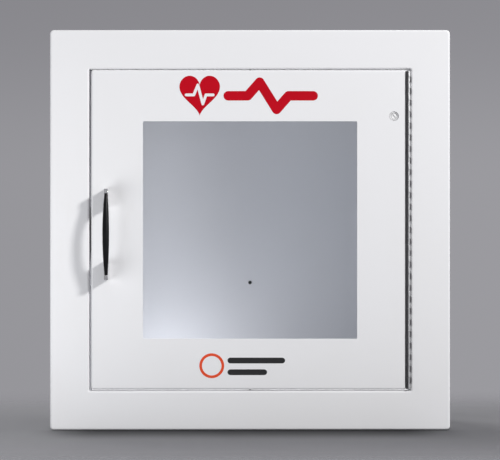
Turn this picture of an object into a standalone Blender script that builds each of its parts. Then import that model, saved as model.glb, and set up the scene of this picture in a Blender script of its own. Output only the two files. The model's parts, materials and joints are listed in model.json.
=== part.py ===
"""Wall cabinet for a defibrillator: a folded sheet steel box with a windowed, piano-hinged door.

Units are metres, +Z is up. X runs to the right, Y runs into the wall. The origin is at the bottom
centre of the whole object. Most pieces are drawn in the face frame: x from the cabinet's middle,
depth from the front face towards the wall, and height from the cabinet's mid height.
"""
import math

import bmesh
import bpy
from mathutils import Matrix, Vector

# ---- Driving dimensions -------------------------------------------------------------------------

GAP = 0.0003                    # what touching pieces keep between them

CABINET_WIDTH = 0.4445          # 17 1/2 in
CABINET_HEIGHT = 0.4445
CABINET_DEPTH = 0.1651          # 6 1/2 in
SHEET = 0.0012                  # 18 gauge steel
OUTLINE_RADIUS = 0.0040         # the box's four long corners
FOLD_RADIUS = 0.0022            # outside radius of every other fold
BORDER = 0.0435                 # width of the front border
OPENING_RADIUS = 0.0010
RETURN_SETBACK = 0.0018         # of the border's folded inner edge, behind the door's flange
REAR_FLANGE = 0.0127

WALL_HOLE_RADIUS = 0.0032
WALL_HOLE_SPACING = 0.3048      # 12 in between the corner holes
CENTRE_HOLE_DROP = 0.0620       # the small plugged hole, below mid height
CENTRE_HOLE_RADIUS = 0.0016
PLUG_HEAD_RADIUS = 0.0021
PLUG_HEAD = 0.0007

LATCH_GAP = 0.0023              # between the door and the border, on the handle side
TOP_GAP = 0.0012
BOTTOM_GAP = 0.0014
DOOR_FLANGE = 0.0127
DOOR_CORNER_RADIUS = 0.0026

STOP_GAP = 0.0004               # between the border's folded edge and the stops' lips
STOP_LIP = 0.0130               # how far the stops reach behind the door
STOP_SEAT = 0.0110              # how far they lie along the border's return
STOP_END_MARGIN = 0.0025
BUMPER_HEAD_RADIUS = 0.0028
BUMPER_STEM_RADIUS = 0.0015
BUMPER_BULB_RADIUS = 0.0023
BUMPER_TAIL = 0.0026
BUMPER_INSET = 0.0029           # its centre, from the edge of the opening

HINGE_END_GAP = 0.0020          # above and below the hinge, in the opening
KNUCKLE_PITCH = 0.00635         # a quarter of an inch
KNUCKLE_RADIUS = 0.00245
LEAF = 0.0010
LEAF_SETBACK_FRAME = 0.0011     # of a leaf's far edge, from the edge it is riveted to
LEAF_SETBACK_DOOR = 0.0006
KNUCKLE_CLEARANCE = 0.0003
PIN_RADIUS = 0.00122
CURL = math.radians(290)        # how far a knuckle is rolled round the pin
RIVET_RADIUS = 0.0015
RIVET_HEAD_RADIUS = 0.0028
RIVET_HEAD = 0.0008
RIVET_TAIL = 0.0012
RIVET_DEPTH = 0.0088            # of the rivets, behind the front face
RIVETS = 4

WINDOW_WIDTH = 0.2380
WINDOW_HEIGHT = 0.2415
WINDOW_RADIUS = 0.0010
WINDOW_LAP = 0.0100             # how far the pane reaches behind the door sheet
PANE_RADIUS = 0.0030
GASKET = 0.0008
GASKET_SETBACK = 0.0004
PANE = 0.0030
RETAINER_SHEET = 0.0012
RETAINER_SETBACK = 0.0045       # of its inner edge, from the window's edge
RETAINER_INNER_RADIUS = 0.0020
RETAINER_OUTER_RADIUS = 0.0040
STUD_RADIUS = 0.0015
STUD_OUTSET = 0.0044            # from the pane's edge to the stud's axis
STUD_LENGTH = 0.0100
STUD_SIDES = 12
NUT_ACROSS_FLATS = 0.0055
NUT_HEIGHT = 0.0024
RETAINER_MARGIN = 0.0043        # from the studs' axes to the retainer's outer edge
HOLE_CLEARANCE = 0.0003

HANDLE_SETBACK = 0.01755        # of its middle, from the door's free edge
HANDLE_RISE = -0.0047           # of its middle, from mid height
HANDLE_LENGTH = 0.1010
HANDLE_PROJECTION = 0.0265
HANDLE_ARCH = 0.0064            # rise of the crown over its shoulders
HANDLE_THICKNESS = 0.0046
HANDLE_LEG = 0.0215
HANDLE_SPINE = 0.0020
HANDLE_FILLET = 0.0060
HANDLE_EDGE = 0.0006
HANDLE_SCREW_INSET = 0.0124     # from the handle's end, which puts them 3 in apart
HANDLE_SCREW_RADIUS = 0.0014
HANDLE_SCREW_HEAD = 0.0020
HANDLE_SCREW_GRIP = 0.0090      # how far a screw runs into its leg
HANDLE_TIP = 0.0056             # of bare metal at each end of the grip
GRIP_DEPTH = 0.0036
GRIP_END_DEPTH = 0.0028
GRIP_WIDTH = 0.0075
GRIP_END_WIDTH = 0.0036

STRIKE_WIDTH = 0.0145
STRIKE_HEIGHT = 0.0440
CATCH_HEIGHT = 0.0440
CATCH_WIDTH = 0.0160
CATCH_DEPTH = 0.0160
CATCH_EAR = 0.0080
CATCH_EAR_THICKNESS = 0.0025
CATCH_WALL = 0.0030
CATCH_POCKET_DEPTH = 0.0122
POLE_THICKNESS = 0.0016
CATCH_SCREW_RADIUS = 0.0013
CATCH_SCREW_HEAD = 0.0016
BRACKET_FOOT = 0.0140

ALARM_LEFT_OF_KEY = 0.0214      # its left side, from the key switch
ALARM_SIDE_ROOM = 0.00075       # beside the battery
ALARM_REAR_ROOM = 0.0015        # behind the battery
ALARM_ABOVE_KEY = 0.0173
ALARM_BELOW_KEY = 0.0687
ALARM_EAR = 0.0070
ALARM_WALL = 0.0015
ALARM_TAPE = 0.0008
ALARM_SCREW_RADIUS = 0.0011
ALARM_SCREW_HEAD = 0.0014
KEY_SETBACK = 0.0159            # from the hinge's axis
KEY_DROP = 0.05105              # from the door's top edge
KEY_HOLE_RADIUS = 0.0051
KEY_HOLE_SIDES = 32
KEY_RECESS = 0.0009             # of the switch's nose, behind the front face
KEY_CHAMFER = 0.0003
KEY_LEDGE = 0.0016              # how far the switch's shoulder stands out round its nose
KEY_SHOULDER = 0.0022
KEY_REAR_RADIUS = 0.0055
KEY_REAR_END = 0.0168
KEY_CORE_CLEARANCE = 0.0004
KEY_CORE_RADIUS = 0.0033
KEY_CORE_RECESS = 0.0015
KEY_CORE_LENGTH = 0.0095
KEY_SLOT = (0.0046, 0.0010, 0.0018)   # length, width, depth
KEY_SLOT_ANGLE = math.radians(45)
BOARD_THICKNESS = 0.0016
BOARD_HEIGHT = 0.0240
BATTERY = (0.0265, 0.0175, 0.0464)    # a nine volt block: width, thickness, height
BATTERY_STUD_RADIUS = 0.0026
BATTERY_STUD_HEIGHT = 0.0021
BATTERY_STUD_SPACING = 0.0127
CONNECTOR_HEIGHT = 0.0038
BUZZER_RADIUS = 0.0065
BUZZER_HEIGHT = 0.0036
BUZZER_SLOT = 0.0014
REED_RADIUS = 0.0011
REED_LENGTH = 0.0140

ALARM_MAGNET = (0.0280, 0.0080, 0.0220)
ALARM_MAGNET_HANG = 0.0120      # how far it hangs below the stop
ALARM_MAGNET_SCREW_RADIUS = 0.0013
ALARM_MAGNET_SCREW_HEAD = 0.0016

DECAL = 0.00025
HEART_WIDTH = 0.0450
HEART_HEIGHT = 0.0446
SIGN_DROP = 0.02845             # of the heart's and the trace's middle, from the door's top edge
HEART_X = -0.0559
PULSE_X = 0.0230
PULSE_LENGTH = 0.1050
PULSE_RISE = 0.0217             # half the height of the trace
PULSE_STROKE = 0.0085
LABEL_RISE = 0.02655            # of the ring's middle, from the door's bottom edge
RING_X = -0.0425
RING_RADIUS = 0.0138
RING_STROKE = 0.0030
BAR_LEFT = -0.0250
BAR_HEIGHT = 0.0064
BAR_UPPER = (0.0640, 0.0058)    # length, height of its middle above the ring's
BAR_LOWER = (0.0440, -0.0072)

SMALL_SIDES = 8                 # sides of a screw, a rivet and its hole
ROUND_SIDES = 20

# ---- Places worked out from them ----------------------------------------------------------------

FACE_Y = (HANDLE_PROJECTION - CABINET_DEPTH) / 2
MID_Z = CABINET_HEIGHT / 2
FACE = Vector((0, FACE_Y, MID_Z))
OPEN_X = CABINET_WIDTH / 2 - BORDER
OPEN_H = CABINET_HEIGHT / 2 - BORDER

HINGE_X = OPEN_X - GAP - KNUCKLE_RADIUS
HINGE_LENGTH = 2 * (OPEN_H - HINGE_END_GAP)
KNUCKLES = 2 * int(HINGE_LENGTH / KNUCKLE_PITCH / 2) + 1
DOOR_LEFT = -OPEN_X + LATCH_GAP
DOOR_RIGHT = HINGE_X - KNUCKLE_RADIUS - GAP
DOOR_TOP = OPEN_H - TOP_GAP
DOOR_BOTTOM = -OPEN_H + BOTTOM_GAP

RETURN_DEPTH = DOOR_FLANGE + RETURN_SETBACK
SHELL_REAR = CABINET_DEPTH - SHEET - GAP
STOP_DEPTH = RETURN_DEPTH + STOP_GAP
BUMPER_HEAD_THICKNESS = STOP_DEPTH - DOOR_FLANGE - 2 * GAP
LEAF_REACH_FRAME = RETURN_DEPTH - LEAF_SETBACK_FRAME
LEAF_REACH_DOOR = DOOR_FLANGE - LEAF_SETBACK_DOOR
SHEET_BACK = SHEET + GAP
PANE_FRONT = SHEET_BACK + GASKET + GAP
RETAINER_FRONT = PANE_FRONT + PANE + GAP
NUT_FRONT = RETAINER_FRONT + RETAINER_SHEET + GAP
PANE_HALF = (WINDOW_WIDTH / 2 + WINDOW_LAP, WINDOW_HEIGHT / 2 + WINDOW_LAP)
STUD_HALF = (PANE_HALF[0] + STUD_OUTSET, PANE_HALF[1] + STUD_OUTSET)
STUDS = [(x * STUD_HALF[0], h * STUD_HALF[1]) for x in (-1, 0, 1) for h in (-1, 1)]

HANDLE_X = DOOR_LEFT + HANDLE_SETBACK
HANDLE_SCREW_RISE = HANDLE_LENGTH / 2 - HANDLE_SCREW_INSET
GRIP_LENGTH = HANDLE_LENGTH - 2 * HANDLE_TIP

KEY_X = HINGE_X - KEY_SETBACK
KEY_RISE = DOOR_TOP - KEY_DROP
KEY_NOSE_RADIUS = KEY_HOLE_RADIUS - GAP
KEY_SHOULDER_RADIUS = KEY_NOSE_RADIUS + KEY_LEDGE
KEY_BORE_RADIUS = KEY_CORE_RADIUS + KEY_CORE_CLEARANCE
ALARM_X = KEY_X - ALARM_LEFT_OF_KEY
ALARM_WIDTH = BATTERY[0] + 2 * (ALARM_WALL + ALARM_SIDE_ROOM)
ALARM_COVER_DEPTH = BATTERY[1] + 2 * ALARM_WALL + ALARM_REAR_ROOM
ALARM_BASE_FRONT = SHEET_BACK + ALARM_TAPE + GAP
ALARM_COVER_FRONT = ALARM_BASE_FRONT + ALARM_WALL + GAP
ALARM_BOTTOM = KEY_RISE - ALARM_BELOW_KEY
ALARM_TOP = KEY_RISE + ALARM_ABOVE_KEY

SIGN_RISE = DOOR_TOP - SIGN_DROP
LABEL_MIDDLE = DOOR_BOTTOM + LABEL_RISE

DOOR_AXIS = Vector((HINGE_X, FACE_Y, MID_Z))
KEY_AXIS = Vector((KEY_X, FACE_Y, MID_Z + KEY_RISE))

# ---- Tools of the trade -------------------------------------------------------------------------

for old in list(bpy.data.objects):
    bpy.data.objects.remove(old, do_unlink=True)


def finish(name, colour, roughness, metallic=0.0):
    made = bpy.data.materials.new(name)
    made.use_nodes = True
    shader = made.node_tree.nodes["Principled BSDF"]
    shader.inputs["Base Color"].default_value = (*colour, 1.0)
    shader.inputs["Roughness"].default_value = roughness
    shader.inputs["Metallic"].default_value = metallic
    return made


def axis_empty(name, at, parent=None):
    """An empty on a joint's axis, which carries the pieces that turn about it."""
    empty = bpy.data.objects.new(name, None)
    empty.empty_display_size = 0.02
    bpy.context.collection.objects.link(empty)
    empty.parent = parent
    empty.location = at - (parent_place(parent) if parent else Vector())
    return empty


def parent_place(parent):
    place = Vector()
    while parent:
        place += parent.location
        parent = parent.parent
    return place


def add_piece(name, shape, colour, parent, at=FACE):
    """Turns a bmesh, drawn about the point at, into an object under its parent."""
    bmesh.ops.recalc_face_normals(shape, faces=shape.faces)
    mesh = bpy.data.meshes.new(name)
    shape.to_mesh(mesh)
    shape.free()
    mesh.materials.append(colour)
    mesh.shade_smooth()
    mesh.set_sharp_from_angle(angle=math.radians(35))
    return add_copy(name, mesh, parent, at)


def add_copy(name, mesh, parent, at):
    piece = bpy.data.objects.new(name, mesh)
    bpy.context.collection.objects.link(piece)
    piece.parent = parent
    piece.location = at - parent_place(parent)
    return piece


def cut(piece, shape, operation="DIFFERENCE", solver="EXACT"):
    """Cuts a bmesh drawn in the face frame out of a piece, or adds it with UNION."""
    tool = add_piece("cutter_for_" + piece.name, shape, piece.data.materials[0], piece.parent)
    tool.hide_render = True
    tool.display_type = "WIRE"
    change = piece.modifiers.new(operation.lower(), "BOOLEAN")
    change.operation = operation
    change.solver = solver
    change.object = tool


def soften(piece, width, segments=2, angle=40):
    bevel = piece.modifiers.new("edges", "BEVEL")
    bevel.width = width
    bevel.segments = segments
    bevel.limit_method = "ANGLE"
    bevel.angle_limit = math.radians(angle)


def skin(loops, closed):
    """Joins loops of equal length with quads. Closed joins the last to the first; else ends are capped."""
    shape = bmesh.new()
    rows = [[shape.verts.new(point) for point in loop] for loop in loops]
    pairs = list(zip(rows, rows[1:]))
    if closed:
        pairs.append((rows[-1], rows[0]))
    else:
        shape.faces.new(rows[0])
        shape.faces.new(rows[-1])
    for low, high in pairs:
        for i in range(len(low)):
            j = (i + 1) % len(low)
            shape.faces.new((low[i], low[j], high[j], high[i]))
    return shape


def block(x, depth, height):
    corners = [(x[0], height[0]), (x[1], height[0]), (x[1], height[1]), (x[0], height[1])]
    return plate(corners, depth[0], depth[1])


def plate(outline, front, rear):
    """An outline of (x, height) points, made thick along the depth."""
    return skin([[(x, depth, h) for x, h in outline] for depth in (front, rear)], False)


def bar_along_x(outline, left, right):
    """An outline of (depth, height) points, drawn out along x."""
    return skin([[(x, depth, h) for depth, h in outline] for x in (left, right)], False)


def bar_along_height(outline, bottom, top):
    """An outline of (x, depth) points, drawn out along the height."""
    return skin([[(x, depth, h) for x, depth in outline] for h in (bottom, top)], False)


def arc(centre, radius, start, end, steps):
    """Points on a circle, both ends included. Angles in degrees."""
    angles = [math.radians(start + (end - start) * i / steps) for i in range(steps + 1)]
    return [(centre[0] + radius * math.cos(a), centre[1] + radius * math.sin(a)) for a in angles]


def rounded_loop(left, right, bottom, top, radius, steps=3):
    points = []
    corners = ((right, top, 0), (left, top, 90), (left, bottom, 180), (right, bottom, 270))
    for x, h, start in corners:
        inward_x = -radius if x == right else radius
        inward_h = -radius if h == top else radius
        points += arc((x + inward_x, h + inward_h), radius, start, start + 90, steps)
    return points


def ring_at(half_width, half_height, radius, depth, centre=(0, 0)):
    loop = rounded_loop(centre[0] - half_width, centre[0] + half_width,
                        centre[1] - half_height, centre[1] + half_height, radius)
    return [(x, depth, h) for x, h in loop]


def flat_ring(inner, outer, inner_radius, outer_radius, front, rear):
    """A flat frame between two rounded rectangles, each given by its half width and half height."""
    loops = [ring_at(*inner, inner_radius, front), ring_at(*outer, outer_radius, front),
             ring_at(*outer, outer_radius, rear), ring_at(*inner, inner_radius, rear)]
    return skin(loops, True)


def turned(profile, at, direction, sides=SMALL_SIDES, turn=0.0):
    """A turned shape. The profile is (radius, distance along the direction), from end to end."""
    shape = bmesh.new()
    rows = []
    for radius, along in profile:
        if radius == 0:
            rows.append([shape.verts.new((0, 0, along))] * sides)
        else:
            rows.append([shape.verts.new((radius * math.cos(a), radius * math.sin(a), along))
                         for a in (turn + math.tau * i / sides for i in range(sides))])
    if profile[0][0] and profile[-1][0]:
        rows.append(rows[0])
    for low, high in zip(rows, rows[1:]):
        for i in range(sides):
            j = (i + 1) % sides
            corners = list(dict.fromkeys((low[i], low[j], high[j], high[i])))
            shape.faces.new(corners)
    rotation = Vector((0, 0, 1)).rotation_difference(Vector(direction)).to_matrix().to_4x4()
    shape.transform(Matrix.Translation(Vector(at)) @ rotation)
    return shape


def rod(radius, at, direction, length, sides=SMALL_SIDES):
    return turned([(0, 0), (radius, 0), (radius, length), (0, length)], at, direction, sides)


def rods(radius, places, direction, length, sides=SMALL_SIDES):
    """Equal rods that don't touch each other, in one bmesh."""
    shape = bmesh.new()
    for at in places:
        one = rod(radius, at, direction, length, sides)
        mesh = bpy.data.meshes.new("rod")
        one.to_mesh(mesh)
        one.free()
        shape.from_mesh(mesh)
        bpy.data.meshes.remove(mesh)
    return shape


def drill(piece, radius, places, direction, length, sides=SMALL_SIDES, solver="EXACT"):
    cut(piece, rods(radius, places, direction, length, sides), solver=solver)


def screw(radius, length, head_radius, head_height):
    """A pan head screw with a round drive recess: its head from 0 up, its shank from 0 down."""
    recess = head_radius * 0.42
    return [(0, -length), (radius * 0.6, -length), (radius, -length + radius), (radius, 0),
            (head_radius, 0), (head_radius, head_height * 0.55), (head_radius * 0.8, head_height),
            (recess, head_height), (recess, head_height * 0.4), (0, head_height * 0.4)]


# ---- Finishes -----------------------------------------------------------------------------------

powder_coat = finish("white_powder_coat", (0.86, 0.86, 0.87), 0.42)
zinc = finish("zinc_plated_steel", (0.62, 0.62, 0.63), 0.35, 1.0)
chrome = finish("chrome", (0.80, 0.80, 0.81), 0.08, 1.0)
black_plastic = finish("black_plastic", (0.012, 0.012, 0.013), 0.38)
black_rubber = finish("black_rubber", (0.03, 0.03, 0.03), 0.75)
white_plastic = finish("white_plastic", (0.82, 0.82, 0.81), 0.40)
grey_foam = finish("grey_foam", (0.25, 0.25, 0.26), 0.90)
clear_acrylic = finish("clear_acrylic", (0.92, 0.95, 0.98), 0.05)
ferrite = finish("ferrite", (0.06, 0.06, 0.065), 0.60)
board_green = finish("circuit_board", (0.03, 0.22, 0.09), 0.45)
red_vinyl = finish("red_vinyl", (0.70, 0.02, 0.03), 0.35)
orange_print = finish("orange_print", (0.85, 0.16, 0.03), 0.40)
black_print = finish("black_print", (0.03, 0.03, 0.03), 0.45)
battery_jacket = finish("battery_jacket", (0.10, 0.10, 0.12), 0.35)
reed_glass = finish("reed_glass", (0.55, 0.70, 0.60), 0.10)

cabinet = axis_empty("cabinet", Vector())
door = axis_empty("door_hinge_axis", DOOR_AXIS, cabinet)
key = axis_empty("key_switch_axis", KEY_AXIS, door)


# ---- Cabinet body -------------------------------------------------------------------------------

def fold(corner_inset, corner_depth, radius, start, end, steps=3):
    """A fold's arc in the sheet's section, as (inset, depth) points about its centre."""
    return arc((corner_inset, corner_depth), radius, start, end, steps)


def shell_section():
    """The sheet's section from the rear flange round to the border's return, and back inside."""
    outside, inside = FOLD_RADIUS, FOLD_RADIUS - SHEET
    rear = SHELL_REAR - FOLD_RADIUS
    near = BORDER - FOLD_RADIUS
    section = [(REAR_FLANGE, SHELL_REAR)]
    section += fold(FOLD_RADIUS, rear, outside, 90, 180)
    section += fold(FOLD_RADIUS, FOLD_RADIUS, outside, 180, 270)
    section += fold(near, FOLD_RADIUS, outside, 270, 360)
    section += [(BORDER, RETURN_DEPTH), (BORDER - SHEET, RETURN_DEPTH)]
    section += fold(near, FOLD_RADIUS, inside, 360, 270)
    section += fold(FOLD_RADIUS, FOLD_RADIUS, inside, 270, 180)
    section += fold(FOLD_RADIUS, rear, inside, 180, 90)
    section += [(REAR_FLANGE, SHELL_REAR - SHEET)]
    return section


def shell_corner(inset):
    """Corner radius of the loop at an inset: the outline's outside, the opening's inside."""
    if inset < BORDER - FOLD_RADIUS - 1e-6:
        return max(OUTLINE_RADIUS - inset, OUTLINE_RADIUS - FOLD_RADIUS)
    return OPENING_RADIUS + BORDER - inset


def build_body():
    loops = [ring_at(CABINET_WIDTH / 2 - inset, CABINET_HEIGHT / 2 - inset, shell_corner(inset), depth)
             for inset, depth in shell_section()]
    shell = add_piece("cabinet_shell", skin(loops, True), powder_coat, cabinet)
    places = [(OPEN_X - SHEET, RIVET_DEPTH, h) for h in rivet_heights()]
    drill(shell, RIVET_RADIUS + HOLE_CLEARANCE, places, (1, 0, 0), 3 * SHEET)

    outline = rounded_loop(-CABINET_WIDTH / 2, CABINET_WIDTH / 2, -CABINET_HEIGHT / 2, CABINET_HEIGHT / 2,
                           OUTLINE_RADIUS)
    panel = add_piece("back_panel", plate(outline, CABINET_DEPTH - SHEET, CABINET_DEPTH), powder_coat, cabinet)
    half = WALL_HOLE_SPACING / 2
    places = [(x, CABINET_DEPTH - 2 * SHEET, h) for x in (-half, half) for h in (-half, half)]
    drill(panel, WALL_HOLE_RADIUS, places, (0, 1, 0), 3 * SHEET, ROUND_SIDES)

    inside = CABINET_DEPTH - SHEET
    drill(panel, CENTRE_HOLE_RADIUS, [(0, inside - SHEET, -CENTRE_HOLE_DROP)], (0, 1, 0), 3 * SHEET, ROUND_SIDES)
    stem = CENTRE_HOLE_RADIUS - GAP
    profile = [(0, -PLUG_HEAD), (PLUG_HEAD_RADIUS * 0.7, -PLUG_HEAD), (PLUG_HEAD_RADIUS, -PLUG_HEAD * 0.5),
               (PLUG_HEAD_RADIUS, 0), (stem, 0), (stem, SHEET), (0, SHEET)]
    plug = turned(profile, (0, inside - GAP, -CENTRE_HOLE_DROP), (0, 1, 0), ROUND_SIDES)
    add_piece("centre_hole_plug", plug, black_plastic, cabinet)


def build_stop(name, side):
    """An angle whose seat lies outside the return flange and whose lip hangs behind the door."""
    edge = OPEN_H
    seat = edge + SHEET + GAP
    lip_front, lip_rear = STOP_DEPTH, STOP_DEPTH + SHEET
    outline = [(lip_front, edge - STOP_LIP), (lip_rear, edge - STOP_LIP), (lip_rear, seat + SHEET),
               (lip_front - STOP_SEAT, seat + SHEET), (lip_front - STOP_SEAT, seat), (lip_front, seat)]
    half = OPEN_X - STOP_END_MARGIN
    stop = add_piece(name, bar_along_x([(d, side * h) for d, h in outline], -half, half), powder_coat, cabinet)
    at = (0, lip_front - SHEET, side * (edge - BUMPER_INSET))
    drill(stop, BUMPER_STEM_RADIUS + HOLE_CLEARANCE, [at], (0, 1, 0), 3 * SHEET)


def build_bumper(name, side):
    head = BUMPER_HEAD_RADIUS
    stem_end = SHEET + 2 * GAP
    profile = [(0, -BUMPER_HEAD_THICKNESS), (head * 0.6, -BUMPER_HEAD_THICKNESS),
               (head, -BUMPER_HEAD_THICKNESS * 0.6), (head, 0), (BUMPER_STEM_RADIUS, 0),
               (BUMPER_STEM_RADIUS, stem_end), (BUMPER_BULB_RADIUS, stem_end),
               (BUMPER_STEM_RADIUS * 0.6, stem_end + BUMPER_TAIL), (0, stem_end + BUMPER_TAIL)]
    at = (0, STOP_DEPTH - GAP, side * (OPEN_H - BUMPER_INSET))
    add_piece(name, turned(profile, at, (0, 1, 0), ROUND_SIDES), black_rubber, cabinet)


# ---- Piano hinge --------------------------------------------------------------------------------

def rivet_heights():
    """The rivets' heights, each at the middle of its share of the hinge."""
    share = HINGE_LENGTH / RIVETS
    return [-HINGE_LENGTH / 2 + share * (i + 0.5) for i in range(RIVETS)]


def curl_outline(side, start_depth):
    """A knuckle's section, from the leaf's outer face round the pin and back to its inner face."""
    inner = KNUCKLE_RADIUS - LEAF
    steps = 8
    turn = math.degrees(CURL)
    outer_arc = arc((0, 0), KNUCKLE_RADIUS, 0, -turn, steps)
    inner_arc = arc((0, 0), inner, -turn, 0, steps)
    points = [(KNUCKLE_RADIUS, start_depth)] + outer_arc + inner_arc + [(inner, start_depth)]
    return [(side * x, depth) for x, depth in points]


def leaf_shape(side, first, reach):
    """One leaf: a flat bar along the hinge, whose every second stretch is rolled into a knuckle."""
    pitch = HINGE_LENGTH / KNUCKLES
    inner = KNUCKLE_RADIUS - LEAF
    clear = KNUCKLE_RADIUS + KNUCKLE_CLEARANCE
    near = math.sqrt(clear ** 2 - inner ** 2)
    bottom, top = -HINGE_LENGTH / 2, HINGE_LENGTH / 2
    section = curl_outline(side, near)
    shape = bmesh.new()

    def column(x, depth, heights):
        return [shape.verts.new((HINGE_X + x, depth, h)) for h in heights]

    heights = []
    for index in range(first, KNUCKLES, 2):
        heights += [bottom + pitch * index + KNUCKLE_CLEARANCE / 2,
                    bottom + pitch * (index + 1) - KNUCKLE_CLEARANCE / 2]
    levels = [bottom] + heights + [top]
    outer_near = column(side * KNUCKLE_RADIUS, near, levels)
    inner_near = column(side * inner, near, levels)
    outer_far = column(side * KNUCKLE_RADIUS, reach, (bottom, top))
    inner_far = column(side * inner, reach, (bottom, top))
    shape.faces.new(outer_near + outer_far[::-1])
    shape.faces.new(inner_near + inner_far[::-1])
    shape.faces.new(outer_far + inner_far[::-1])
    for end in (0, -1):
        shape.faces.new((outer_near[end], outer_far[end], inner_far[end], inner_near[end]))
    for i in range(0, len(levels) - 1, 2):
        shape.faces.new((outer_near[i], outer_near[i + 1], inner_near[i + 1], inner_near[i]))
    for i in range(1, len(levels) - 1, 2):
        ends = []
        for level in (i, i + 1):
            middle = [shape.verts.new((HINGE_X + x, depth, levels[level])) for x, depth in section[1:-1]]
            ends.append([outer_near[level]] + middle + [inner_near[level]])
            shape.faces.new(ends[-1])
        for j in range(len(section) - 1):
            shape.faces.new((ends[0][j], ends[0][j + 1], ends[1][j + 1], ends[1][j]))
    return shape


def build_hinge():
    """The frame's leaf lies right of the pin, the door's leaf left of it."""
    inner = KNUCKLE_RADIUS - LEAF
    sides = (("frame", 1, 0, LEAF_REACH_FRAME, cabinet), ("door", -1, 1, LEAF_REACH_DOOR, door))
    for word, side, first, reach, parent in sides:
        leaf = add_piece("hinge_leaf_" + word, leaf_shape(side, first, reach), zinc, parent)
        stack = LEAF + GAP + SHEET
        profile = [(0, -RIVET_HEAD), (RIVET_HEAD_RADIUS * 0.6, -RIVET_HEAD),
                   (RIVET_HEAD_RADIUS, -RIVET_HEAD * 0.4), (RIVET_HEAD_RADIUS, 0), (RIVET_RADIUS, 0),
                   (RIVET_RADIUS, stack + 2 * GAP), (RIVET_RADIUS * 1.5, stack + 2 * GAP),
                   (RIVET_RADIUS * 1.3, stack + 2 * GAP + RIVET_TAIL), (0, stack + 2 * GAP + RIVET_TAIL)]
        places = [(HINGE_X + side * (inner - LEAF), RIVET_DEPTH, h) for h in rivet_heights()]
        drill(leaf, RIVET_RADIUS + HOLE_CLEARANCE, places, (side, 0, 0), 3 * LEAF)
        mesh = None
        for number, h in enumerate(rivet_heights(), 1):
            name = "hinge_rivet_%s_%d" % (word, number)
            at = FACE + Vector((HINGE_X + side * (inner - GAP), RIVET_DEPTH, h))
            if mesh is None:
                mesh = add_piece(name, turned(profile, (0, 0, 0), (side, 0, 0)), zinc, parent, at).data
            else:
                add_copy(name, mesh, parent, at)
    half = HINGE_LENGTH / 2 - GAP
    add_piece("hinge_pin", rod(PIN_RADIUS, (HINGE_X, 0, -half), (0, 0, 1), 2 * half), zinc, cabinet)


# ---- Magnetic catch -----------------------------------------------------------------------------

def build_catch():
    middle = HANDLE_RISE
    wall_x = -OPEN_X - SHEET - GAP              # outer side of the border's return
    half = CATCH_HEIGHT / 2 + CATCH_EAR
    front = RETURN_DEPTH + GAP
    rear = front + CATCH_DEPTH
    outline = [(wall_x - BRACKET_FOOT, SHEET_BACK), (wall_x - FOLD_RADIUS, SHEET_BACK),
               (wall_x, SHEET_BACK + FOLD_RADIUS), (wall_x, rear), (wall_x - SHEET, rear),
               (wall_x - SHEET, SHEET_BACK + FOLD_RADIUS), (wall_x - FOLD_RADIUS, SHEET_BACK + SHEET),
               (wall_x - BRACKET_FOOT, SHEET_BACK + SHEET)]
    bracket = add_piece("catch_bracket", bar_along_height(outline, middle - half, middle + half), zinc, cabinet)

    left = wall_x + GAP
    ear = left + CATCH_EAR_THICKNESS
    right = left + CATCH_WIDTH
    body = CATCH_HEIGHT / 2
    outline = [(left, middle - half), (ear, middle - half), (ear, middle - body), (right, middle - body),
               (right, middle + body), (ear, middle + body), (ear, middle + half), (left, middle + half)]
    case = add_piece("catch_case", plate(outline, front, rear), white_plastic, cabinet)
    pocket = (left + CATCH_WALL, right - CATCH_WALL)
    inside = body - CATCH_WALL
    cut(case, block(pocket, (front - SHEET, front + CATCH_POCKET_DEPTH), (middle - inside, middle + inside)))

    pole_front = DOOR_FLANGE                    # the poles meet the strike just behind the door's flange
    pole_rear = front + CATCH_POCKET_DEPTH - GAP
    height = (middle - inside + GAP, middle + inside - GAP)
    outer_pole = (pocket[0] + GAP, pocket[0] + GAP + POLE_THICKNESS)
    inner_pole = (pocket[1] - GAP - POLE_THICKNESS, pocket[1] - GAP)
    add_piece("catch_pole_outer", block(outer_pole, (pole_front, pole_rear), height), zinc, cabinet)
    add_piece("catch_pole_inner", block(inner_pole, (pole_front, pole_rear), height), zinc, cabinet)
    magnet = (outer_pole[1] + GAP, inner_pole[0] - GAP)
    add_piece("catch_magnet", block(magnet, (front + GAP, pole_rear), height), ferrite, cabinet)

    depth = (front + rear) / 2
    profile = screw(CATCH_SCREW_RADIUS, CATCH_EAR_THICKNESS + 3 * SHEET, CATCH_SCREW_RADIUS * 2, CATCH_SCREW_HEAD)
    heights = [middle + side * (body + CATCH_EAR / 2) for side in (-1, 1)]
    for piece in (bracket, case):
        places = [(left - 3 * SHEET, depth, h) for h in heights]
        drill(piece, CATCH_SCREW_RADIUS + HOLE_CLEARANCE, places, (1, 0, 0), CATCH_EAR_THICKNESS + 5 * SHEET)
    for word, h in zip(("lower", "upper"), heights):
        add_piece("catch_screw_" + word, turned(profile, (ear + GAP, depth, h), (1, 0, 0)), zinc, cabinet)


def build_strike():
    """An angle welded inside the door's edge: its rear leg is what the catch pulls on."""
    left = DOOR_LEFT + SHEET + GAP
    rear = DOOR_FLANGE - GAP
    right = left + STRIKE_WIDTH
    outline = [(left, FOLD_RADIUS + 2 * SHEET), (left + SHEET, FOLD_RADIUS + 2 * SHEET),
               (left + SHEET, rear - SHEET), (right, rear - SHEET), (right, rear), (left, rear)]
    half = STRIKE_HEIGHT / 2
    shape = bar_along_height(outline, HANDLE_RISE - half, HANDLE_RISE + half)
    add_piece("strike_plate", shape, zinc, door)


# ---- Door and window ----------------------------------------------------------------------------

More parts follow.
